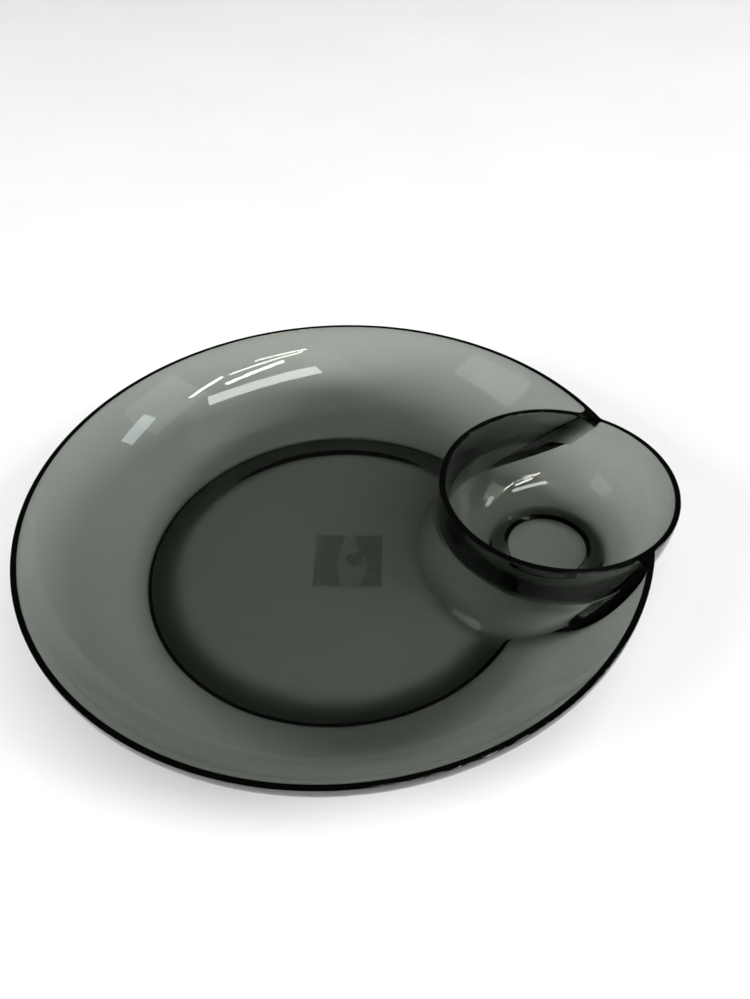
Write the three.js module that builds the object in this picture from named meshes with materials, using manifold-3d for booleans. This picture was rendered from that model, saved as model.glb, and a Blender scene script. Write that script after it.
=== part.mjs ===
// Chip and dip server: a wide round bowl for chips with a small round cup for the dip let into
// its rim, moulded in clear smoke-grey plastic, and a square label stuck under the floor.
// Millimetres, +Z up. The origin is on the table, under the middle of the server's length.
// The cup is on the +X side of the bowl.
import * as THREE from 'three';
import { mergeVertices } from 'three/addons/utils/BufferGeometryUtils.js';
import Module from 'manifold-3d';

const wasm = await Module();
wasm.setup();

// Driving dimensions.
const HEIGHT = 53; // table to rim
const WALL = 3; // thickness of the plastic
const BOWL_RIM_R = 162; // bowl, outside of the rim
const CUP_RIM_R = 62.2; // cup, outside of the rim
const AXIS_GAP = 117.8; // bowl axis to cup axis
const JOINT_GAP = 0.3; // clearance left where the bowl and the cup meet

const LIP_H = 2.5; // upright lip at the top of each wall
const RIM_EDGE_R = 0.8; // rounding of the rim's two edges
const FLOOR_Z = 5; // inside of both floors
const RECESS_Z = 2; // underside of the bowl's floor, clear of the table

const BOWL_LIP_R = 12; // outer bend from the wall into the lip
const BOWL_LIP_SLOPE = THREE.MathUtils.degToRad(60); // slope of the wall where that bend starts
const BOWL_FLOOR_R = 75; // outer bend from the floor into the wall
const BOWL_FLOOR_SLOPE = THREE.MathUtils.degToRad(40); // slope of the wall where that bend ends
const BOWL_FOOT_R = 104; // outside of the bowl's foot ring
const BOWL_FOOT_W = 6; // flat width that stands on the table
const BOWL_RECESS_R = 85; // the underside is flat inside this radius

const CUP_BEND_R = 28; // the cup's wall starts to rise from the floor here
const CUP_FOOT_TOP_R = 33; // outside of the cup's foot ring, where it meets the wall
const CUP_FOOT_R = 30; // outside of the flat that stands on the table
const CUP_FOOT_IN_R = 27; // inside of that flat
const CUP_STEP_R = 22.6; // foot of the small step up into the recess
const CUP_STEP_Z = 1.3;
const CUP_RECESS_R = 22.1; // the cup's underside is flat inside this radius
const CUP_RECESS_Z = 3; // underside of the cup's floor, which is thinner than the walls

const SKIRT_TOP_Z = 46; // top edge of the skirt that joins the bowl's floor to the cup
const SKIRT_TOP_R = 62.9;
const SKIRT_BEND_Z = 28; // the skirt is nearly upright above this and flares out below
const SKIRT_BEND_R = 64.2;
const SKIRT_FOOT_R = 77; // where the flare meets the floor
const HOLLOW_TOP_Z = 31; // roof of the hollow between the skirt and the cup
const WEB_FILLET_R = 3.5; // corners where the cup's rim meets the bowl's rim
const WEB_DEPTH = 14;
const WEB_SET_IN = 1; // the web's point stays this far inside the bowl's outer face

const LABEL_SIZE = 38.1;
const LABEL_T = 0.2;
const LABEL_GAP = 0.1;
const LABEL_X = -3.6;
const LABEL_Y = -0.8;
const LABEL_TURN = THREE.MathUtils.degToRad(-5);

// How finely the round faces are stepped.
const BOWL_SIDES = 84;
const BOWL_BEND_STEPS = 3;
const CUP_SIDES = 60;
const CUP_BEND_STEPS = 4;
const WEB_STEPS = 8;
const WELD = 1e-4; // points closer than this are one point
const CUT_OVER = 1; // how far a space runs past the face that it opens through

// Derived places.
const LENGTH = BOWL_RIM_R + AXIS_GAP + CUP_RIM_R;
const BOWL_X = BOWL_RIM_R - LENGTH / 2;
const CUP_X = BOWL_X + AXIS_GAP;
const LIP_Z = HEIGHT - LIP_H;
const QUARTER = Math.PI / 2;

const SMOKE = new THREE.MeshStandardMaterial({
  color: 0x4d534c, roughness: 0.06, metalness: 0, transparent: true, opacity: 0.55,
});
const FILM = new THREE.MeshStandardMaterial({
  color: 0x3f4540, roughness: 0.35, metalness: 0, transparent: true, opacity: 0.6,
});

// A closed ring of points turned about the Z axis.
function turned(path, sides, steps) {
  return new THREE.LatheGeometry(path.getPoints(steps), sides).rotateX(QUARTER);
}

// A closed geometry as a solid, with only its positions kept and its shared vertices merged.
function solid(geometry, x = 0) {
  const bare = geometry.clone().translate(x, 0, 0);
  bare.deleteAttribute('normal');
  bare.deleteAttribute('uv');
  const merged = mergeVertices(bare, WELD);
  return new wasm.Manifold(new wasm.Mesh({
    numProp: 3,
    vertProperties: new Float32Array(merged.attributes.position.array),
    triVerts: new Uint32Array(merged.index.array),
  }));
}

function named(name, shape, material) {
  const { vertProperties, triVerts } = shape.getMesh();
  const geometry = new THREE.BufferGeometry();
  geometry.setAttribute('position', new THREE.BufferAttribute(vertProperties, 3));
  geometry.setIndex(new THREE.BufferAttribute(triVerts, 1));
  geometry.computeVertexNormals();
  const mesh = new THREE.Mesh(geometry, material);
  mesh.name = name;
  return mesh;
}

// The wall's top: up the outer face of the lip, over the rounded rim and down the inner face.
function addRim(path, rimR) {
  path.lineTo(rimR, HEIGHT - RIM_EDGE_R);
  path.lineTo(rimR - RIM_EDGE_R, HEIGHT);
  path.lineTo(rimR - WALL + RIM_EDGE_R, HEIGHT);
  path.lineTo(rimR - WALL, HEIGHT - RIM_EDGE_R);
  path.lineTo(rimR - WALL, LIP_Z);
}

// The bowl's wall is three arcs that run on from each other: a wide one from the flat floor, a
// middle one between the two slopes, and a tight one under the upright lip. Its inner face has
// the same three centres.
const lipCos = Math.cos(BOWL_LIP_SLOPE);
const floorCos = Math.cos(BOWL_FLOOR_SLOPE);
const middleRise = LIP_Z - RECESS_Z - BOWL_LIP_R * lipCos - BOWL_FLOOR_R * (1 - floorCos);
const middleR = middleRise / (floorCos - lipCos);
const lipX = BOWL_RIM_R - BOWL_LIP_R;
const middleX = lipX - (middleR - BOWL_LIP_R) * Math.sin(BOWL_LIP_SLOPE);
const middleZ = LIP_Z + (middleR - BOWL_LIP_R) * lipCos;
const bendX = middleX + (middleR - BOWL_FLOOR_R) * Math.sin(BOWL_FLOOR_SLOPE);
const bendZ = RECESS_Z + BOWL_FLOOR_R;
const bowlFootTurn = Math.asin((BOWL_FOOT_R - bendX) / BOWL_FLOOR_R);

// The bowl's outer face, from the top of the foot ring up to the lip.
function addBowlOutside(path) {
  const floorEnd = BOWL_FLOOR_SLOPE - QUARTER;
  const lipStart = BOWL_LIP_SLOPE - QUARTER;
  path.absarc(bendX, bendZ, BOWL_FLOOR_R, bowlFootTurn - QUARTER, floorEnd, false);
  path.absarc(middleX, middleZ, middleR, floorEnd, lipStart, false);
  path.absarc(lipX, LIP_Z, BOWL_LIP_R, lipStart, 0, false);
}

// The bowl's inner face, from the lip down to the floor and in to the axis.
function addBowlInside(path) {
  const floorEnd = BOWL_FLOOR_SLOPE - QUARTER;
  const lipStart = BOWL_LIP_SLOPE - QUARTER;
  path.absarc(lipX, LIP_Z, BOWL_LIP_R - WALL, 0, lipStart, true);
  path.absarc(middleX, middleZ, middleR - WALL, lipStart, floorEnd, true);
  path.absarc(bendX, bendZ, BOWL_FLOOR_R - WALL, floorEnd, -QUARTER, true);
  path.lineTo(0, FLOOR_Z);
}

// The cup's outer face is a quarter ellipse, flat at the floor and upright at the lip. Set out by
// a clearance, it runs from a given height up to the lip.
function addCupOutside(path, fromZ, clearance) {
  const reach = CUP_RIM_R - CUP_BEND_R + clearance;
  const rise = LIP_Z - RECESS_Z + clearance;
  const start = -Math.asin((LIP_Z - fromZ) / rise);
  path.absellipse(CUP_BEND_R, LIP_Z, reach, rise, start, 0, false);
}

function bowlShell() {
  const middle = (BOWL_RECESS_R + BOWL_FOOT_R - BOWL_FOOT_W) / 2;
  const path = new THREE.Path();
  path.moveTo(0, RECESS_Z);
  path.lineTo(BOWL_RECESS_R, RECESS_Z);
  path.bezierCurveTo(middle, RECESS_Z, middle, 0, BOWL_FOOT_R - BOWL_FOOT_W, 0);
  path.lineTo(BOWL_FOOT_R, 0);
  addBowlOutside(path);
  addRim(path, BOWL_RIM_R);
  addBowlInside(path);
  return solid(turned(path, BOWL_SIDES, BOWL_BEND_STEPS), BOWL_X);
}

// Everything inside the bowl's outer face, which keeps the skirt and the webs within the wall.
function bowlBody() {
  const path = new THREE.Path();
  path.moveTo(0, 0);
  path.lineTo(BOWL_FOOT_R, 0);
  addBowlOutside(path);
  path.lineTo(BOWL_RIM_R, HEIGHT - RIM_EDGE_R);
  path.lineTo(BOWL_RIM_R - RIM_EDGE_R, HEIGHT);
  path.lineTo(0, HEIGHT);
  return solid(turned(path, BOWL_SIDES, BOWL_BEND_STEPS), BOWL_X);
}

function dipCup() {
  const path = new THREE.Path();
  path.moveTo(0, CUP_RECESS_Z);
  path.lineTo(CUP_RECESS_R, CUP_RECESS_Z);
  path.lineTo(CUP_STEP_R, CUP_STEP_Z);
  path.quadraticCurveTo((CUP_STEP_R + CUP_FOOT_IN_R) / 2, 0, CUP_FOOT_IN_R, 0);
  path.lineTo(CUP_FOOT_R, 0);
  const footReach = (CUP_FOOT_TOP_R - CUP_BEND_R) / (CUP_RIM_R - CUP_BEND_R);
  const footTopZ = LIP_Z - (LIP_Z - RECESS_Z) * Math.sqrt(1 - footReach ** 2);
  const shoulder = (CUP_FOOT_R + CUP_FOOT_TOP_R) / 2;
  path.bezierCurveTo(shoulder, 0, shoulder, footTopZ, CUP_FOOT_TOP_R, footTopZ);
  addCupOutside(path, footTopZ, 0);
  addRim(path, CUP_RIM_R);
  const innerReach = CUP_RIM_R - WALL - CUP_BEND_R;
  path.absellipse(CUP_BEND_R, LIP_Z, innerReach, LIP_Z - FLOOR_Z, 0, -QUARTER, true);
  path.lineTo(0, FLOOR_Z);
  return solid(turned(path, CUP_SIDES, CUP_BEND_STEPS), CUP_X);
}

// The space that the chips fill, less the skirt that rises through it round the cup.
function chipSpace() {
  const path = new THREE.Path();
  path.moveTo(0, HEIGHT + CUT_OVER);
  path.lineTo(BOWL_RIM_R - WALL, HEIGHT + CUT_OVER);
  path.lineTo(BOWL_RIM_R - WALL, LIP_Z);
  addBowlInside(path);
  const space = new THREE.Path(path.getPoints(BOWL_BEND_STEPS).reverse());
  return solid(turned(space, BOWL_SIDES, 1), BOWL_X).subtract(skirtBody());
}

// The skirt as a full plug, from half way through the floor's thickness up to its top edge.
function skirtBody() {
  const path = new THREE.Path();
  path.moveTo(0, (RECESS_Z + FLOOR_Z) / 2);
  path.lineTo(SKIRT_FOOT_R, (RECESS_Z + FLOOR_Z) / 2);
  path.absellipse(SKIRT_FOOT_R, SKIRT_BEND_Z, SKIRT_FOOT_R - SKIRT_BEND_R,
    SKIRT_BEND_Z - FLOOR_Z, -QUARTER, -2 * QUARTER, true);
  path.lineTo(SKIRT_TOP_R, SKIRT_TOP_Z);
  path.lineTo(0, SKIRT_TOP_Z);
  return solid(turned(path, CUP_SIDES, CUP_BEND_STEPS), CUP_X);
}

// The cup's own place, with its clearance, and under it the hollow inside the skirt.
function cupSpace() {
  const underR = SKIRT_FOOT_R - SKIRT_BEND_R + WALL;
  const path = new THREE.Path();
  path.moveTo(0, -CUT_OVER);
  path.lineTo(SKIRT_FOOT_R, -CUT_OVER);
  path.absellipse(SKIRT_FOOT_R, SKIRT_BEND_Z, underR, SKIRT_BEND_Z - RECESS_Z,
    -QUARTER, -2 * QUARTER, true);
  addCupOutside(path, HOLLOW_TOP_Z, JOINT_GAP);
  path.lineTo(CUP_RIM_R + JOINT_GAP, HEIGHT + CUT_OVER);
  path.lineTo(0, HEIGHT + CUT_OVER);
  return solid(turned(path, CUP_SIDES, CUP_BEND_STEPS), CUP_X);
}

// One of the two webs that fill the corner between the rims, with a round inner corner. Its
// fillet's centre is WEB_FILLET_R inside the bowl's wall and outside the cup's wall.
function web(side) {
  const wallR = BOWL_RIM_R - WALL;
  const fromBowl = wallR - WEB_FILLET_R;
  const fromCup = CUP_RIM_R + WEB_FILLET_R;
  const x = (fromBowl ** 2 - fromCup ** 2 + AXIS_GAP ** 2) / (2 * AXIS_GAP);
  const y = Math.sqrt(fromBowl ** 2 - x ** 2);
  const toWall = Math.atan2(y, x);
  const toCup = Math.atan2(-y, AXIS_GAP - x);
  const crossX = (BOWL_RIM_R ** 2 - CUP_RIM_R ** 2 + AXIS_GAP ** 2) / (2 * AXIS_GAP);
  const shape = new THREE.Shape();
  shape.absarc(x, y, WEB_FILLET_R, toWall, toCup, true);
  shape.lineTo(crossX, Math.sqrt(BOWL_RIM_R ** 2 - crossX ** 2) - WEB_SET_IN);
  const prism = new THREE.ExtrudeGeometry(shape, {
    depth: WEB_DEPTH, bevelEnabled: false, curveSegments: WEB_STEPS,
  });
  prism.translate(0, 0, HEIGHT - WEB_DEPTH);
  const block = solid(prism, BOWL_X);
  return side > 0 ? block : block.mirror([0, 1, 0]);
}

function chipBowl() {
  const webs = web(1).add(web(-1));
  const skirt = skirtBody().intersect(bowlBody());
  return bowlShell().add(skirt).subtract(chipSpace())
    .add(webs.intersect(bowlBody())).subtract(cupSpace());
}

function baseLabel() {
  const half = LABEL_SIZE / 2;
  const shape = new THREE.Shape();
  shape.moveTo(-half, -half);
  shape.lineTo(half, -half);
  shape.lineTo(half, half);
  shape.lineTo(-half, half);
  shape.closePath();
  const geometry = new THREE.ExtrudeGeometry(shape, { depth: LABEL_T, bevelEnabled: false });
  const mesh = new THREE.Mesh(geometry, FILM);
  mesh.name = 'base_label';
  mesh.position.set(LABEL_X, LABEL_Y, RECESS_Z - LABEL_GAP - LABEL_T);
  mesh.rotation.z = LABEL_TURN;
  return mesh;
}

const server = new THREE.Group();
server.name = 'chip_and_dip_server';
server.add(named('chip_bowl', chipBowl(), SMOKE));
server.add(named('dip_cup', dipCup(), SMOKE));
server.add(baseLabel());

export default server;
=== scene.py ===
import math

import bmesh
import bpy
import numpy as np
from mathutils import Matrix, Vector, geometry


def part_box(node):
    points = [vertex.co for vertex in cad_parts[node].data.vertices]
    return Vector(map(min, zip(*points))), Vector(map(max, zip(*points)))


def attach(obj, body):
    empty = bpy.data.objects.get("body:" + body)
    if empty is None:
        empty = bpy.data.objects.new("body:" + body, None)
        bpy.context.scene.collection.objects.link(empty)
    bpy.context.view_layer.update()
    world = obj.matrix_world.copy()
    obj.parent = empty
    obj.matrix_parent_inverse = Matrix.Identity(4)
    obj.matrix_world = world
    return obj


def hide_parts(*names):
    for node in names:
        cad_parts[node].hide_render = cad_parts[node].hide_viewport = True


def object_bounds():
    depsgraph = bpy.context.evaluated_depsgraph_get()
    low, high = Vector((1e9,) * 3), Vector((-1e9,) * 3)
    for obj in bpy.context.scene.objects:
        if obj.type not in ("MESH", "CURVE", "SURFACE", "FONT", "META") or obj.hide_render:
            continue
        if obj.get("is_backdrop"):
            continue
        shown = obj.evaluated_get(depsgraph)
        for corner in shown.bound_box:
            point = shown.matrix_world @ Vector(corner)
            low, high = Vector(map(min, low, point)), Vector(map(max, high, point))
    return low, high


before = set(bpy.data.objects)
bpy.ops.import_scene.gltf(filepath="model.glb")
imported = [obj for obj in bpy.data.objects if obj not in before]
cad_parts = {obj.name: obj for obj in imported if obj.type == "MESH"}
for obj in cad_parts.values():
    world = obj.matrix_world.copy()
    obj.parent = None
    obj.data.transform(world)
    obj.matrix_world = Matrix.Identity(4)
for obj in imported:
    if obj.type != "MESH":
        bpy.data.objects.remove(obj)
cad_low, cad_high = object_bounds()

# ---------------------------------------------------------------------------------------------
# Camera. It stands in front of the server and a little over arm's length above the table, and
# looks down on it at about 44 degrees.
# ---------------------------------------------------------------------------------------------
LONG_SIDE = 999
FOCAL = 838 / LONG_SIDE * 36
CAMERA_PLACE = (-0.0029, -0.3141, 0.3554)
CAMERA_TILT = math.radians(44.30)
CAMERA_TURN = math.radians(-2.76)
CAMERA_ROLL = math.radians(-1.43)


def make_camera():
    """Look direction, right and up from tilt, turn about Z and roll, as a camera matrix."""
    ahead = np.array([0.0, math.cos(CAMERA_TILT), -math.sin(CAMERA_TILT)])
    right = np.array([1.0, 0.0, 0.0])
    up = np.cross(right, ahead)
    rolled_right = math.cos(CAMERA_ROLL) * right + math.sin(CAMERA_ROLL) * up
    rolled_up = -math.sin(CAMERA_ROLL) * right + math.cos(CAMERA_ROLL) * up
    axes = np.stack([rolled_right, rolled_up, -ahead], axis=1)
    turn = Matrix.Rotation(CAMERA_TURN, 4, "Z")
    data = bpy.data.cameras.new("camera")
    data.lens = FOCAL
    data.sensor_width = 36
    camera = bpy.data.objects.new("camera", data)
    bpy.context.scene.collection.objects.link(camera)
    camera.matrix_world = Matrix.Translation(CAMERA_PLACE) @ turn @ Matrix(axes).to_4x4()
    bpy.context.scene.camera = camera


make_camera()

# ---------------------------------------------------------------------------------------------
# The moulding: bowl, dip cup, the skirt between them and the webs at the rim, injection moulded
# in one shot of clear smoke-grey plastic. It is one closed skin, in millimetres until the end.
# ---------------------------------------------------------------------------------------------
MM = 0.001
bowl_low, bowl_high = (np.array(c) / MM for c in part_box("chip_bowl"))
cup_low, cup_high = (np.array(c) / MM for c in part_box("dip_cup"))

HEIGHT = cad_high.z / MM
WALL = 3.0
RIM_EDGE = 0.8
LIP_H = 2.5
LIP_Z = HEIGHT - LIP_H
FLOOR_Z = 5.0
RECESS_Z = 2.0
BOWL_R = (bowl_high[1] - bowl_low[1]) / 2
BOWL_X = bowl_low[0] + BOWL_R
CUP_R = (cup_high[0] - cup_low[0]) / 2
CUP_X = (cup_high[0] + cup_low[0]) / 2
APART = CUP_X - BOWL_X

LIP_BEND = 12.0
LIP_SLOPE = math.radians(60)
FLOOR_BEND = 75.0
FLOOR_SLOPE = math.radians(40)
FOOT_R = 104.0
FOOT_TOP_R = 109.0
FOOT_EDGE = 0.5
FOOT_FLAT_R = 98.0
RECESS_R = 85.0
GATE_R = 5.0
GATE_EDGE = 0.6
GATE_DROP = 0.08

CUP_BEND_R = 28.0
CUP_FOOT_R = 35.0
CUP_FOOT_FLAT_R = (28.9, 28.1)
CUP_STEP_R = 22.6
CUP_STEP_Z = 2.1
CUP_RECESS_R = 21.8
CUP_RECESS_Z = 3.0

SKIRT_SET_OUT = 0.4
SKIRT_R = CUP_R + SKIRT_SET_OUT
SKIRT_BEND_Z = 28.0
SKIRT_BEND_R = 64.2
SKIRT_FOOT_R = 77.0
HOLLOW_Z = 31.0
HOLLOW_FOOT_R = 79.0
HOLLOW_ROOF = 1.5
HOLLOW_ROOF_REACH = 1.8
INNER_CORNER = 3.5
FLOOR_CORNER = 10.0
WEB_R = 4.5
WEB_LOW_Z = 31.5


# The wall's outer face is three arcs that run on from each other: a tight one under the upright
# lip, a middle one between the two slopes, and a wide one that runs out flat on the floor.
middle_drop = LIP_Z - RECESS_Z - LIP_BEND * math.cos(LIP_SLOPE)
middle_drop -= FLOOR_BEND * (1 - math.cos(FLOOR_SLOPE))
middle_bend = middle_drop / (math.cos(FLOOR_SLOPE) - math.cos(LIP_SLOPE))
lip_arc = (BOWL_R - LIP_BEND, LIP_Z, LIP_BEND)
middle_arc = (
    lip_arc[0] - (middle_bend - LIP_BEND) * math.sin(LIP_SLOPE),
    LIP_Z + (middle_bend - LIP_BEND) * math.cos(LIP_SLOPE),
    middle_bend,
)
floor_arc = (
    middle_arc[0] + (middle_bend - FLOOR_BEND) * math.sin(FLOOR_SLOPE),
    RECESS_Z + FLOOR_BEND,
    FLOOR_BEND,
)
FOOT_TOP_Z = floor_arc[1] - math.sqrt(FLOOR_BEND**2 - (FOOT_TOP_R - floor_arc[0]) ** 2)


def arc_radius(arc, z, inset):
    """Radius where an arc with its centre at (x, height) crosses z: x + sqrt(r^2 - rise^2)."""
    x, height, bend = arc
    return x + np.sqrt(np.clip((bend - inset) ** 2 - (height - z) ** 2, 0, None))


def bowl_wall(z, inset):
    """Radius of the wall's outer face, or of a face set in from it."""
    wall = np.where(z > LIP_Z, BOWL_R - inset, arc_radius(lip_arc, z, inset))
    lip_end = LIP_Z - (LIP_BEND - inset) * math.cos(LIP_SLOPE)
    floor_end = floor_arc[1] - (FLOOR_BEND - inset) * math.cos(FLOOR_SLOPE)
    wall = np.where(z > lip_end, wall, arc_radius(middle_arc, z, inset))
    return np.where(z > floor_end, wall, arc_radius(floor_arc, z, inset))


def wall_levels(inset, end_z, steps):
    """Heights down that face, evenly spaced along each of its arcs."""
    end = math.acos((floor_arc[1] - end_z) / (FLOOR_BEND - inset))
    slopes = (math.pi / 2, LIP_SLOPE, FLOOR_SLOPE, end)
    parts = [np.array([LIP_Z])]
    arcs = (lip_arc, middle_arc, floor_arc)
    for arc, start, stop, times in zip(arcs, slopes, slopes[1:], (1, 2, 2)):
        turn = np.linspace(start, stop, times * steps + 1)[1:]
        parts.append(arc[1] - (arc[2] - inset) * np.cos(turn))
    return np.concatenate(parts)


def bowl_outside(z):
    """Outer face of the wall, down through a hollow round to the foot and its rounded edge."""
    edge = np.sqrt(np.clip(FOOT_EDGE**2 - np.clip(FOOT_EDGE - z, 0, None) ** 2, 0, None))
    flare = (FOOT_TOP_R - FOOT_R) * (1 - np.sqrt(np.clip(1 - (z / FOOT_TOP_Z) ** 2, 0, 1)))
    return np.where(z < FOOT_TOP_Z, FOOT_R - FOOT_EDGE + edge + flare, bowl_wall(z, 0))


def cup_outside(z):
    """Radius of the cup's outer face, a quarter ellipse: bend + reach * sqrt(1 - fall^2), where
    the fall is 0 at the lip and 1 at the bottom."""
    fall = np.clip((LIP_Z - z) / (LIP_Z - RECESS_Z), 0, 1)
    return CUP_BEND_R + (CUP_R - CUP_BEND_R) * np.sqrt(1 - fall**2)


def skirt_face(z):
    """Chip side of the skirt: almost upright, then a quarter ellipse that runs out on the floor."""
    upright = SKIRT_BEND_R + (z - SKIRT_BEND_Z) * (SKIRT_R - SKIRT_BEND_R) / (HEIGHT - SKIRT_BEND_Z)
    down = np.clip((SKIRT_BEND_Z - z) / (SKIRT_BEND_Z - FLOOR_Z), 0, 1)
    flare = SKIRT_FOOT_R - (SKIRT_FOOT_R - SKIRT_BEND_R) * np.sqrt(1 - down**2)
    return np.where(z > SKIRT_BEND_Z, upright, flare)


roof_out = float(cup_outside(np.array(HOLLOW_Z))) + HOLLOW_ROOF_REACH
spring = HOLLOW_Z - HOLLOW_ROOF


def hollow_face(roof, flare):
    """Underside of the skirt as radius and height: a small round roof against the cup, turned
    by the roof angle, then a quarter ellipse down to the table, turned by the flare angle."""
    radius = roof_out - HOLLOW_ROOF_REACH * (1 - np.cos(roof))
    radius = radius + (HOLLOW_FOOT_R - roof_out) * (1 - np.cos(flare))
    return radius, spring + HOLLOW_ROOF * np.sin(roof) - spring * np.sin(flare)


def underside(x, y):
    """Height under the bowl's floor: the foot ring, a soft rise to the recess, the gate mark."""
    r = np.hypot(x - BOWL_X, y)
    rise = np.clip((FOOT_FLAT_R - r) / (FOOT_FLAT_R - RECESS_R), 0, 1)
    gate = np.clip((GATE_R - np.hypot(x, y)) / GATE_EDGE, 0, 1)
    return RECESS_Z * rise * rise * (3 - 2 * rise) - GATE_DROP * gate * gate * (3 - 2 * gate)


def corner(bowl_r, cup_r, fillet):
    """Centre of the round that touches both circles from inside the chips' side, fillet > 0, or
    from outside the server, fillet < 0, with the angles where it touches the bowl and the cup."""
    a, b = bowl_r - fillet, cup_r + np.abs(fillet)
    x = (a**2 - b**2 + APART**2) / (2 * APART)
    y = np.sqrt(np.clip(a**2 - x**2, 0, None))
    return x, y, np.arctan2(y, x), np.arctan2(y, x - APART)


def blend(start, end, steps):
    """Rows from start to end, both ends kept, as one array with a new last axis."""
    t = np.linspace(0, 1, steps + 1)
    return np.asarray(start)[..., None] * (1 - t) + np.asarray(end)[..., None] * t


def ring(centre_x, radius, angle, z):
    """Points at an angle and radius about an upright axis."""
    return np.stack(
        np.broadcast_arrays(centre_x + radius * np.cos(angle), radius * np.sin(angle), z), axis=-1
    )


class Skin:
    """Patches of one closed skin, welded at the end."""

    def __init__(self):
        self.points, self.faces, self.count = [], [], 0

    def add(self, points, faces):
        """Adds a patch and numbers its faces on from the last one."""
        self.points.append(points.reshape(-1, 3))
        self.faces += (np.asarray(faces) + self.count).tolist()
        self.count += len(self.points[-1])

    def sheet(self, grid, closed=False):
        """Quads over a grid of rows and columns; closed joins the last column to the first."""
        rows, columns = grid.shape[:2]
        index = np.arange(rows * columns).reshape(rows, columns)
        right = np.roll(index, -1, axis=1)
        if not closed:
            index, right = index[:, :-1], right[:, :-1]
        self.add(grid, np.stack([index[:-1], right[:-1], right[1:], index[1:]], -1).reshape(-1, 4))

    def flat(self, loops, inner, height):
        """Fills the plan between closed loops with triangles, with extra inner points."""
        plan = np.concatenate([loop[:, :2] for loop in loops] + [inner])
        ends = np.cumsum([0] + [len(loop) for loop in loops])
        edges = [
            (a + i, a + (i + 1) % (b - a)) for a, b in zip(ends, ends[1:]) for i in range(b - a)
        ]
        done = geometry.delaunay_2d_cdt([Vector(p) for p in plan.tolist()], edges, [], 1, 1e-6)
        flat = np.array([tuple(p) for p in done[0]])
        keep = [f for f in done[2] if len(f) == 3]
        middle = flat[np.array(keep)].mean(axis=1)
        inside = np.ones(len(keep), bool)
        for number, loop in enumerate(loops):
            inside &= within(middle, loop[:, :2]) == (number == 0)
        z = height(flat[:, 0], flat[:, 1])
        self.add(np.column_stack([flat, z]), np.array(keep)[inside])


def within(points, loop):
    """Whether each point is inside a loop, by the number of its edges that a ray crosses."""
    a, b = loop, np.roll(loop, -1, axis=0)
    x, y = points[:, :1], points[:, 1:]
    spans = (a[:, 1] > y) != (b[:, 1] > y)
    with np.errstate(divide="ignore", invalid="ignore"):
        cross = a[:, 0] + (y - a[:, 1]) * (b[:, 0] - a[:, 0]) / (b[:, 1] - a[:, 1])
    return ((x < cross) & spans).sum(axis=1) % 2 == 1


def chip_loops(z, bowl_r, cup_r, fillet):
    """Level outlines of the chips' space, anticlockwise: the bowl's wall, a round corner, the
    skirt, and the other corner. One row for each height."""
    x, y, on_bowl, on_cup = (v[:, None] for v in corner(bowl_r, cup_r, fillet))
    z, bowl_r, cup_r, fillet = (v[:, None] for v in (z, bowl_r, cup_r, fillet))
    tau = 2 * math.pi
    wall = ring(BOWL_X, bowl_r, blend(on_bowl, tau - on_bowl, BOWL_STEPS)[:, 0], z)
    skirt = ring(CUP_X, cup_r, blend(-on_cup, on_cup - tau, SKIRT_STEPS)[:, 0], z)
    near = ring(BOWL_X + x, fillet, blend(-on_bowl, math.pi - on_cup, CORNER_STEPS)[:, 0], z)
    far = ring(BOWL_X + x, fillet, blend(on_cup - math.pi, on_bowl, CORNER_STEPS)[:, 0], z)
    near = near + np.stack([0 * y, -y, 0 * y], axis=-1)
    far = far + np.stack([0 * y, y, 0 * y], axis=-1)
    return np.concatenate([part[:, :-1] for part in (wall, near, skirt, far)], axis=1)


def outline(z, inset):
    """The rims' outer outline at one height, set in by the rounding of the edge: the bowl, the
    hollow round of the web, the cup, and the other web."""
    x, y, on_bowl, on_cup = corner(BOWL_R, CUP_R, np.array(-WEB_R))
    radius = WEB_R + inset
    wall = ring(BOWL_X, BOWL_R - inset, bowl_turn, z)
    cup = ring(CUP_X, CUP_R - inset, free_turn, z)
    near = ring(BOWL_X + x, radius, blend(math.pi - on_bowl, math.pi - on_cup, WEB_STEPS), z)
    far = ring(BOWL_X + x, radius, blend(on_cup - math.pi, on_bowl - math.pi, WEB_STEPS), z)
    near, far = near - [0, y, 0], far + [0, y, 0]
    return np.concatenate([part[:-1] for part in (wall, near, cup, far)])


# How finely the faces are stepped, round the axes and up the walls.
BOWL_STEPS = 256
SKIRT_STEPS = 144
CORNER_STEPS = 12
WEB_STEPS = 8
EDGE_STEPS = 5
WEB_LEVELS = 16
LINE_LEVELS = 2
ROOF_STEPS = 4
FLARE_STEPS = 24
FREE_STEPS = 64
BACK_STEPS = 72
REST_STEPS = 220
WALL_STEPS = 14
DIP_STEPS = 40
DIP_ROUND = 160
CUP_STEPS = 32
EASE_STEPS = 8
ROOF_ROWS = 6
FLARE_ROWS = 28
HALVINGS = 40
RING_STEPS = 13
RING_ROUND = 240
GATE_STEPS = 4
GATE_ROUND = 48
FOOT_SHARES = np.array([0.99, 0.95, 0.85, 0.7, 0.5, 0.3, 0.18, 0.1, 0.03, 0])

skin = Skin()
edge_turn = np.linspace(0, math.pi / 2, EDGE_STEPS + 1)
edge_inset = RIM_EDGE * (1 - np.sin(edge_turn))
edge_z = HEIGHT - RIM_EDGE * (1 - np.cos(edge_turn))

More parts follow.
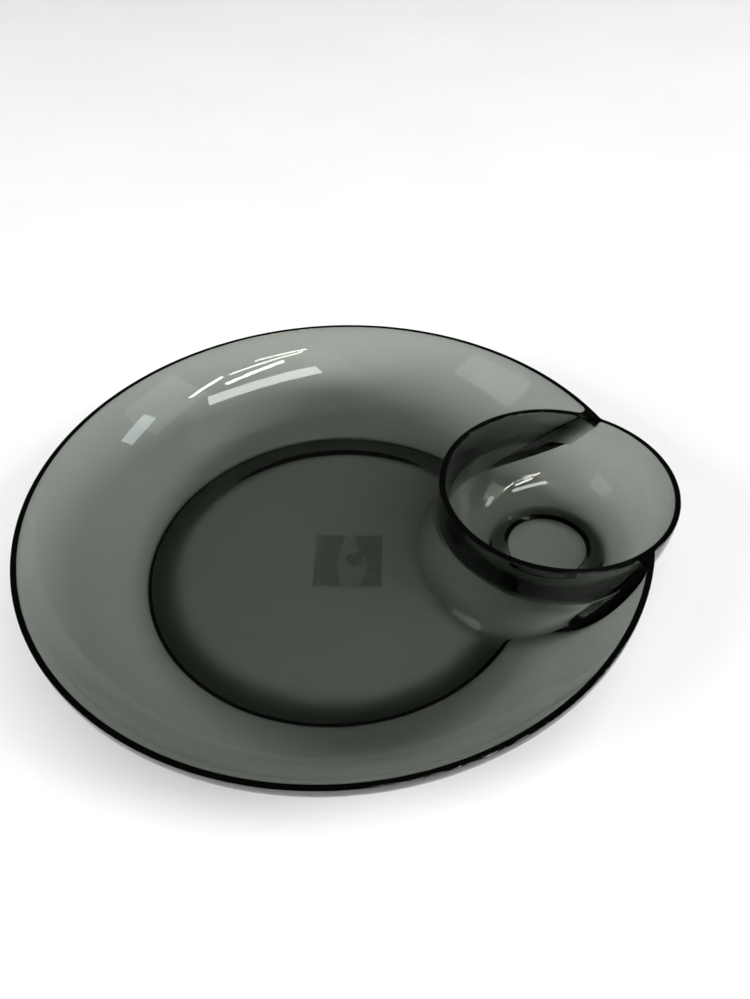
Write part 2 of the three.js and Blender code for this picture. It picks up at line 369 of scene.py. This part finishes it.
# Where the faces under the rim meet, from the lip down: the web's round, which fades out, then
# the sharp line between the bowl and the cup, then the line between the bowl and the hollow.
web_z = np.linspace(LIP_Z, WEB_LOW_Z, WEB_LEVELS + 1)
web_r = WEB_R * (1 - ((LIP_Z - web_z) / (LIP_Z - WEB_LOW_Z)) ** 3) ** 2
web_x, web_y, web_bowl, web_cup = corner(bowl_outside(web_z), cup_outside(web_z), -web_r)
line_z = np.linspace(WEB_LOW_Z, HOLLOW_Z, LINE_LEVELS + 1)[1:]
line_bowl, line_cup = corner(bowl_outside(line_z), cup_outside(line_z), 0.0)[2:]
roof_bend = np.linspace(math.pi / 2, 0, ROOF_STEPS + 1)
flare_bend = np.linspace(0, math.pi / 2, FLARE_STEPS + 1)[1:]
roof_turn = np.concatenate([roof_bend, 0 * flare_bend])
flare_turn = np.concatenate([0 * roof_bend, flare_bend])
hollow_r, hollow_z = hollow_face(roof_turn, flare_turn)
hollow_bowl, hollow_cup = corner(bowl_outside(hollow_z), hollow_r, 0.0)[2:]

# Columns about the bowl's axis and about the cup's axis, with the height where each one ends.
bowl_side = np.concatenate([web_bowl, line_bowl, hollow_bowl[1:]])
bowl_ends = np.concatenate([web_z, line_z, hollow_z[1:]])
rest = np.linspace(bowl_side[-1], 2 * math.pi - bowl_side[-1], REST_STEPS + 1)[1:-1]
bowl_turn = np.concatenate([bowl_side, rest, 2 * math.pi - bowl_side[::-1]])
bowl_end = np.concatenate([bowl_ends, 0 * rest, bowl_ends[::-1]])
cup_side = np.concatenate([web_cup, line_cup, hollow_cup[1:]])
cup_tops = np.concatenate([web_z, line_z, 0 * hollow_z[1:] + HOLLOW_Z])
free_turn = np.linspace(-web_cup[0], web_cup[0], FREE_STEPS + 1)
back = np.linspace(cup_side[-1], 2 * math.pi - cup_side[-1], BACK_STEPS + 1)[1:-1]
cup_turn = np.concatenate([free_turn[:-1], cup_side, back, 2 * math.pi - cup_side[:0:-1]])
cup_top = np.concatenate([
    0 * free_turn[:-1] + LIP_Z, cup_tops, 0 * back + HOLLOW_Z, cup_tops[:0:-1]
])

# The chips' side: the rounded edge, then the wall down to the floor.
chip_z = wall_levels(WALL, FLOOR_Z, WALL_STEPS)
corner_r = FLOOR_CORNER + (INNER_CORNER - FLOOR_CORNER) * ((chip_z - FLOOR_Z) / (LIP_Z - FLOOR_Z))
chip_side = np.concatenate([
    chip_loops(edge_z, BOWL_R - WALL + edge_inset, SKIRT_R - edge_inset, INNER_CORNER + edge_inset),
    chip_loops(chip_z, bowl_wall(chip_z, WALL), skirt_face(chip_z), corner_r),
])
skin.sheet(chip_side, closed=True)
skin.flat([chip_side[-1]], np.empty((0, 2)), lambda x, y: 0 * x + FLOOR_Z)

# The dip's side: the same edge and lip, then a quarter ellipse down to the floor.
dip_turn = np.linspace(0, math.pi / 2, DIP_STEPS + 1)
dip_z = LIP_Z - (LIP_Z - FLOOR_Z) * np.sin(dip_turn)
dip_r = CUP_BEND_R + (CUP_R - WALL - CUP_BEND_R) * np.cos(dip_turn)
dip_r = np.concatenate([CUP_R - WALL + edge_inset, dip_r, [CUP_BEND_R / 2, 0]])
dip_z = np.concatenate([edge_z, dip_z, [FLOOR_Z, FLOOR_Z]])
dip_round = np.linspace(0, 2 * math.pi, DIP_ROUND + 1)[:-1]
dip_side = ring(CUP_X, dip_r[:, None], dip_round[None], dip_z[:, None])
skin.sheet(dip_side, closed=True)

# The rims: the outer edge and lip, and the flat top between the three outlines.
rim = [outline(z, inset) for z, inset in zip(edge_z, edge_inset)] + [outline(LIP_Z, 0)]
skin.sheet(np.stack(rim), closed=True)
skin.flat([rim[0], chip_side[0], dip_side[0]], np.empty((0, 2)), lambda x, y: 0 * x + HEIGHT)

# The bowl's outer wall and foot.
wall_end = np.maximum(bowl_end, FOOT_TOP_Z)
levels = wall_levels(0, FOOT_TOP_Z, WALL_STEPS)
share = ((levels - FOOT_TOP_Z) / (LIP_Z - FOOT_TOP_Z))[:, None]
wall_z = wall_end + (LIP_Z - wall_end) * share
foot_z = bowl_end + (wall_end - bowl_end) * FOOT_SHARES[:, None]
outer_z = np.concatenate([wall_z, foot_z])
outer_r = bowl_outside(outer_z)
skin.sheet(ring(BOWL_X, outer_r, bowl_turn, outer_z))

# The web's hollow round, from the bowl's wall to the cup's.
for side in (1, -1):
    turn = side * blend(web_bowl - math.pi, web_cup - math.pi, WEB_STEPS)
    round_web = ring(BOWL_X + web_x[:, None], web_r[:, None], turn, web_z[:, None])
    skin.sheet(round_web + np.stack([0 * web_y, side * web_y, 0 * web_y], -1)[:, None])

# The cup's outer wall, its foot ring and its recess.
cup_fall = math.acos((CUP_FOOT_R - CUP_BEND_R) / (CUP_R - CUP_BEND_R))
start_fall = np.arcsin((LIP_Z - cup_top) / (LIP_Z - RECESS_Z))
fall_turn = blend(start_fall, 0 * start_fall + cup_fall, CUP_STEPS).T
cup_r = CUP_BEND_R + (CUP_R - CUP_BEND_R) * np.cos(fall_turn)
cup_z = LIP_Z - (LIP_Z - RECESS_Z) * np.sin(fall_turn)
cup_foot_top = LIP_Z - (LIP_Z - RECESS_Z) * math.sin(cup_fall)
ease = np.linspace(0, 1, EASE_STEPS + 1)
soft = ease**2 * (3 - 2 * ease)
flat_out, flat_in = CUP_FOOT_FLAT_R
under_r = np.concatenate([
    CUP_FOOT_R + (flat_out - CUP_FOOT_R) * ease[1:],
    flat_in + (CUP_STEP_R - flat_in) * ease,
    CUP_STEP_R + (CUP_RECESS_R - CUP_STEP_R) * ease[1:],
    [CUP_RECESS_R / 2, 0],
])
under_z = np.concatenate([
    cup_foot_top * (1 - soft[1:]),
    CUP_STEP_Z * ease**2,
    CUP_STEP_Z + (CUP_RECESS_Z - CUP_STEP_Z) * soft[1:],
    [CUP_RECESS_Z, CUP_RECESS_Z],
])
cup_r = np.concatenate([cup_r, under_r[:, None] + 0 * cup_turn])
cup_z = np.concatenate([cup_z, under_z[:, None] + 0 * cup_turn])
skin.sheet(ring(CUP_X, cup_r, cup_turn, cup_z), closed=True)

# The hollow under the skirt. Behind the cup each column ends where it meets the bowl's floor.
hollow_turn = np.concatenate([hollow_cup, back, 2 * math.pi - hollow_cup[::-1]])
low, high = 0 * back, 0 * back + math.pi / 2
for _ in range(HALVINGS):
    middle = (low + high) / 2
    radius, z = hollow_face(0.0, middle)
    above = z > underside(CUP_X + radius * np.cos(back), radius * np.sin(back))
    low, high = np.where(above, middle, low), np.where(above, high, middle)
roof_end = np.concatenate([roof_turn, 0 * back, roof_turn[::-1]])
flare_end = np.concatenate([flare_turn, high, flare_turn[::-1]])
roof_rows = blend(0 * roof_end + math.pi / 2, roof_end, ROOF_ROWS).T
flare_rows = blend(0 * flare_end, flare_end, FLARE_ROWS).T[1:]
roof_grid = np.concatenate([roof_rows, roof_end + 0 * flare_rows])
flare_grid = np.concatenate([0 * roof_rows, flare_rows])
radius, z = hollow_face(roof_grid, flare_grid)
hollow = ring(CUP_X, radius, hollow_turn, z)
skin.sheet(hollow)

# Under the bowl's floor, between the foot and the hollow.
full = slice(len(bowl_side) - 1, len(bowl_turn) - len(bowl_side) + 1)
foot_loop = ring(BOWL_X, outer_r[-1, full], bowl_turn[full], outer_z[-1, full])
floor_edge = hollow[-1, len(hollow_cup) - 1 : len(hollow_cup) + len(back) + 1]
under_loop = np.concatenate([foot_loop, floor_edge[::-1][1:-1]])
ring_r = np.linspace(FOOT_FLAT_R, RECESS_R, RING_STEPS + 1)[:, None]
ring_turn = np.linspace(0, 2 * math.pi, RING_ROUND + 1)[None, :-1]
dots = ring(BOWL_X, ring_r, ring_turn, 0).reshape(-1, 3)
dots = dots[np.hypot(dots[:, 0] - CUP_X, dots[:, 1]) > HOLLOW_FOOT_R + 1, :2]
gate_r = np.linspace(GATE_R, GATE_R - GATE_EDGE, GATE_STEPS + 1)[:, None]
gate_turn = np.linspace(0, 2 * math.pi, GATE_ROUND + 1)[None, :-1]
gate = ring(0, gate_r, gate_turn, 0).reshape(-1, 3)[:, :2]
skin.flat([under_loop], np.concatenate([dots, gate]), underside)


WELD = 2e-6
TOO_SHORT = 1e-7
SHARP_CORNER = math.radians(30)


def make_mesh(name, points, faces):
    """Welds the patches into one closed mesh in metres, facing out, with sharp corners marked."""
    mesh = bpy.data.meshes.new(name)
    mesh.from_pydata((points * MM).tolist(), [], faces)
    work = bmesh.new()
    work.from_mesh(mesh)
    bmesh.ops.remove_doubles(work, verts=work.verts, dist=WELD)
    bmesh.ops.dissolve_degenerate(work, edges=work.edges, dist=TOO_SHORT)
    bmesh.ops.recalc_face_normals(work, faces=work.faces)
    work.to_mesh(mesh)
    work.free()
    mesh.shade_smooth()
    mesh.set_sharp_from_angle(angle=SHARP_CORNER)
    piece = bpy.data.objects.new(name, mesh)
    bpy.context.scene.collection.objects.link(piece)
    return piece


moulding = make_mesh("server_moulding", np.concatenate(skin.points), skin.faces)

# Polished plastic: clear inside with an even grey-green absorption, and on the surface the very
# low waves of a large moulding, a little haze, and the fine scuffs of washing and stacking.
CLEAR_INDEX = 1.53
ABSORBED = 1000.0
KEPT = (0.660, 0.684, 0.652, 1.0)


def add_node(tree, kind, **sockets):
    """A shader node with its unlinked inputs set by name; a node as a value links its output."""
    node = tree.nodes.new(kind)
    for name, value in sockets.items():
        socket = node.inputs[name.replace("_", " ")]
        if isinstance(value, bpy.types.NodeSocket):
            tree.links.new(value, socket)
        else:
            socket.default_value = value
    return node


def spread(tree, value, low, high, to_low, to_high):
    """Maps a value from one range to another, held at both ends."""
    node = add_node(tree, "ShaderNodeMapRange", Value=value)
    for socket, number in zip(node.inputs[1:5], (low, high, to_low, to_high)):
        socket.default_value = number
    return node.outputs["Result"]


def smoke_plastic():
    """Clear plastic that takes in light along its path, with haze, scuffs and low waves."""
    material = bpy.data.materials.new("smoke_plastic")
    material.use_nodes = True
    tree = material.node_tree
    shader = tree.nodes["Principled BSDF"]
    shader.inputs["Base Color"].default_value = (1, 1, 1, 1)
    shader.inputs["Transmission Weight"].default_value = 1
    shader.inputs["IOR"].default_value = CLEAR_INDEX
    place = tree.nodes.new("ShaderNodeTexCoord").outputs["Object"]
    haze = add_node(tree, "ShaderNodeTexNoise", Vector=place, Scale=14.0, Detail=4.0)
    stretch = add_node(tree, "ShaderNodeMapping", Vector=place, Scale=(60.0, 900.0, 60.0))
    stretch.inputs["Rotation"].default_value = (0, 0, 0.6)
    scuffs = add_node(tree, "ShaderNodeTexNoise", Vector=stretch.outputs[0], Scale=1.0, Detail=2.0)
    scuff = spread(tree, scuffs.outputs["Fac"], 0.70, 0.80, 0.0, 0.03)
    rough = spread(tree, haze.outputs["Fac"], 0.35, 0.75, 0.0, 0.006)
    sum_node = add_node(tree, "ShaderNodeMath")
    tree.links.new(rough, sum_node.inputs[0])
    tree.links.new(scuff, sum_node.inputs[1])
    tree.links.new(sum_node.outputs[0], shader.inputs["Roughness"])
    waves = add_node(tree, "ShaderNodeTexNoise", Vector=place, Scale=22.0, Detail=1.0)
    bump = add_node(tree, "ShaderNodeBump", Strength=0.06, Distance=0.002)
    tree.links.new(waves.outputs["Fac"], bump.inputs["Height"])
    tree.links.new(bump.outputs["Normal"], shader.inputs["Normal"])
    inside = add_node(tree, "ShaderNodeVolumeAbsorption", Color=KEPT, Density=ABSORBED)
    output = tree.nodes["Material Output"]
    tree.links.new(inside.outputs["Volume"], output.inputs["Volume"])
    return material


moulding.data.materials.append(smoke_plastic())
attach(moulding, "root")
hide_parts("chip_bowl", "dip_cup")

# ---------------------------------------------------------------------------------------------
# Label: a square of thin clear film, blank, stuck under the bowl's floor over the gate mark. The
# glue wets the plastic in two patches, left and right, with a pocket of air between them.
# ---------------------------------------------------------------------------------------------
LABEL_CELLS = 96
POCKET_DROP = 0.12
FILM = 0.06
FILM_INDEX = 1.12
label_low, label_high = (np.array(c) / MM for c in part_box("base_label"))
label_middle = (label_low + label_high) / 2
LABEL_TURN = math.radians(-5)
label_side = (label_high[0] - label_low[0]) / (math.cos(LABEL_TURN) - math.sin(LABEL_TURN))


def pocket(u, v):
    """1 in the air pocket and 0 where the glue is wet: a vase whose sides are waves, as
    fractions of the label's side from its middle."""
    left = -0.13 + 0.04 * v - 0.035 * np.cos(2 * math.pi * v) + 0.01 * np.sin(17 * v)
    right = 0.20 - 0.05 * v + 0.075 * np.cos(2 * math.pi * (v + 0.12)) + 0.008 * np.sin(23 * v)
    gap = np.minimum(u - left, right - u)
    edge = 0.5 - np.maximum(np.abs(u), np.abs(v))
    nick = 0.012 + 0.006 * np.sin(41 * (u - v)) + 0.004 * np.sin(97 * (u + v))
    mark = np.hypot(u * label_side + label_middle[0], v * label_side + label_middle[1]) - GATE_R
    open_air = np.clip(gap / 0.006, 0, 1) * np.clip(mark / 0.3, 0, 1)
    return np.maximum(open_air, np.clip((nick - edge) / 0.006, 0, 1))


def make_label():
    """A square grid in the label's own turn, lower in the pocket, with the pocket as an
    attribute for the material; the film's thickness is added under it."""
    side = np.linspace(-0.5, 0.5, LABEL_CELLS + 1)
    u, v = np.meshgrid(side, side)
    air = pocket(u, v)
    x = label_middle[0] + label_side * (u * math.cos(LABEL_TURN) - v * math.sin(LABEL_TURN))
    y = label_middle[1] + label_side * (u * math.sin(LABEL_TURN) + v * math.cos(LABEL_TURN))
    grid = np.stack([x, y, label_high[2] - POCKET_DROP * air], axis=-1)
    index = np.arange(air.size).reshape(air.shape)
    quads = np.stack([index[:-1, :-1], index[:-1, 1:], index[1:, 1:], index[1:, :-1]], axis=-1)
    mesh = bpy.data.meshes.new("label_sheet")
    mesh.from_pydata((grid.reshape(-1, 3) * MM).tolist(), [], quads.reshape(-1, 4).tolist())
    mesh.shade_smooth()
    mesh.attributes.new("air", "FLOAT", "POINT").data.foreach_set("value", air.ravel())
    label = bpy.data.objects.new("label_sheet", mesh)
    bpy.context.scene.collection.objects.link(label)
    film = label.modifiers.new("film", "SOLIDIFY")
    film.thickness = FILM * MM
    film.offset = -1
    return label


def label_film():
    """Clear film, greyer where the glue has wetted the plastic, with faint wrinkles."""
    material = bpy.data.materials.new("label_film")
    material.use_nodes = True
    tree = material.node_tree
    shader = tree.nodes["Principled BSDF"]
    shader.inputs["Transmission Weight"].default_value = 1
    shader.inputs["IOR"].default_value = FILM_INDEX
    air = add_node(tree, "ShaderNodeAttribute")
    air.attribute_name = "air"
    place = tree.nodes.new("ShaderNodeTexCoord").outputs["Object"]
    mottle = add_node(tree, "ShaderNodeTexNoise", Vector=place, Scale=420.0, Detail=3.0)
    wet = spread(tree, mottle.outputs["Fac"], 0.3, 0.7, 0.74, 0.90)
    tone = add_node(tree, "ShaderNodeMix")
    tree.links.new(air.outputs["Fac"], tone.inputs["Factor"])
    tree.links.new(wet, tone.inputs["A"])
    tone.inputs["B"].default_value = 1.0
    tree.links.new(tone.outputs["Result"], shader.inputs["Base Color"])
    rough = spread(tree, air.outputs["Fac"], 0.0, 1.0, 0.16, 0.02)
    tree.links.new(rough, shader.inputs["Roughness"])
    bump = add_node(tree, "ShaderNodeBump", Strength=0.2, Distance=0.0004)
    tree.links.new(mottle.outputs["Fac"], bump.inputs["Height"])
    tree.links.new(bump.outputs["Normal"], shader.inputs["Normal"])
    return material


label = make_label()
label.data.materials.append(label_film())
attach(label, "root")
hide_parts("base_label")

# ---------------------------------------------------------------------------------------------
# Table: a plain pale matt top that the server stands on.
# ---------------------------------------------------------------------------------------------
TABLE_REACH = 8.0
TABLE_GAP = 0.00005


def pale_top():
    """Matt and nearly white, with a very faint change of tone."""
    material = bpy.data.materials.new("pale_top")
    material.use_nodes = True
    tree = material.node_tree
    shader = tree.nodes["Principled BSDF"]
    place = tree.nodes.new("ShaderNodeTexCoord").outputs["Object"]
    grain = add_node(tree, "ShaderNodeTexNoise", Vector=place, Scale=6.0, Detail=3.0)
    tone = spread(tree, grain.outputs["Fac"], 0.3, 0.7, 0.80, 0.83)
    tree.links.new(tone, shader.inputs["Base Color"])
    shader.inputs["Roughness"].default_value = 0.9
    shader.inputs["Specular IOR Level"].default_value = 0.2
    return material


reach = np.array([-TABLE_REACH, TABLE_REACH])
corners = [(x, y, -TABLE_GAP) for x, y in zip(reach[[0, 1, 1, 0]], reach[[0, 0, 1, 1]])]
table_mesh = bpy.data.meshes.new("table")
table_mesh.from_pydata(corners, [], [(0, 1, 2, 3)])
table_mesh.materials.append(pale_top())
table = bpy.data.objects.new("table", table_mesh)
bpy.context.scene.collection.objects.link(table)
table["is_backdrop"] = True

# ---------------------------------------------------------------------------------------------
# Light: a dim even room, three soft lamps that light the table, and the ceiling's lamps and a
# window as the plastic mirrors them. Each is placed by where it stands as seen from the server.
# ---------------------------------------------------------------------------------------------
ROOM_LOW = 0.05
ROOM_HIGH = 0.04


def light_room():
    """Even, dim light from all sides, so that the lamps make the shine."""
    world = bpy.data.worlds.new("room")
    bpy.context.scene.world = world
    world.use_nodes = True
    tree = world.node_tree
    place = tree.nodes.new("ShaderNodeTexCoord").outputs["Generated"]
    up = add_node(tree, "ShaderNodeSeparateXYZ", Vector=place)
    level = spread(tree, up.outputs["Z"], 0.0, 1.0, ROOM_LOW, ROOM_HIGH)
    tree.links.new(level, tree.nodes["Background"].inputs["Strength"])
    tree.nodes["Background"].inputs["Color"].default_value = (1.0, 0.995, 0.98, 1.0)


def hang_lamp(name, compass, rise, away, size, colour, bright, mirrored, tilt=0):
    """A rectangular lamp seen from the server at a compass angle from +Y and a height angle, in
    degrees, facing it. A mirrored lamp shows only as a reflection; the others light the table."""
    compass, rise = math.radians(compass), math.radians(rise)
    towards = Vector((
        math.sin(compass) * math.cos(rise), math.cos(compass) * math.cos(rise), math.sin(rise)
    ))
    data = bpy.data.lights.new(name, "AREA")
    data.shape = "RECTANGLE"
    data.size, data.size_y = size
    data.color = colour
    data.energy = bright * math.pi * size[0] * size[1]
    lamp = bpy.data.objects.new(name, data)
    bpy.context.scene.collection.objects.link(lamp)
    facing = towards.to_track_quat("Z", "Y").to_matrix().to_4x4()
    tilted = facing @ Matrix.Rotation(math.radians(tilt), 4, "Z")
    lamp.matrix_world = Matrix.Translation(towards * away) @ tilted
    lamp.visible_diffuse = not mirrored
    lamp.visible_glossy = mirrored


bpy.context.scene.view_settings.view_transform = "Standard"
WHITE, WARM, COOL = (1.0, 1.0, 1.0), (1.0, 0.95, 0.86), (0.82, 0.92, 1.0)
light_room()
hang_lamp("wide_lamp", 150, 66, 4.4, (4.4, 4.4), WHITE, 3.2, False)
hang_lamp("window_light", 108, 34, 4.4, (1.8, 1.8), WHITE, 11.0, False)
hang_lamp("left_light", -110, 28, 4.4, (1.8, 1.8), WHITE, 13.0, False)
hang_lamp("ceiling_panel", 146, 56, 2.0, (1.25, 0.22), WHITE, 8.0, True, -5)
hang_lamp("tube_near_left", 125, 41, 3.0, (0.72, 0.07), WARM, 24.0, True, 6)
hang_lamp("tube_near_right", 147, 45, 3.0, (1.1, 0.09), WHITE, 26.0, True, 8)
hang_lamp("tube_middle", 154, 40, 3.5, (1.6, 0.05), WARM, 22.0, True, 6)
hang_lamp("tube_far", 161, 37, 3.5, (1.1, 0.05), WARM, 24.0, True, 4)
hang_lamp("window", 92, 35, 3.0, (0.65, 0.36), COOL, 5.0, True, 0)

low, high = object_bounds()
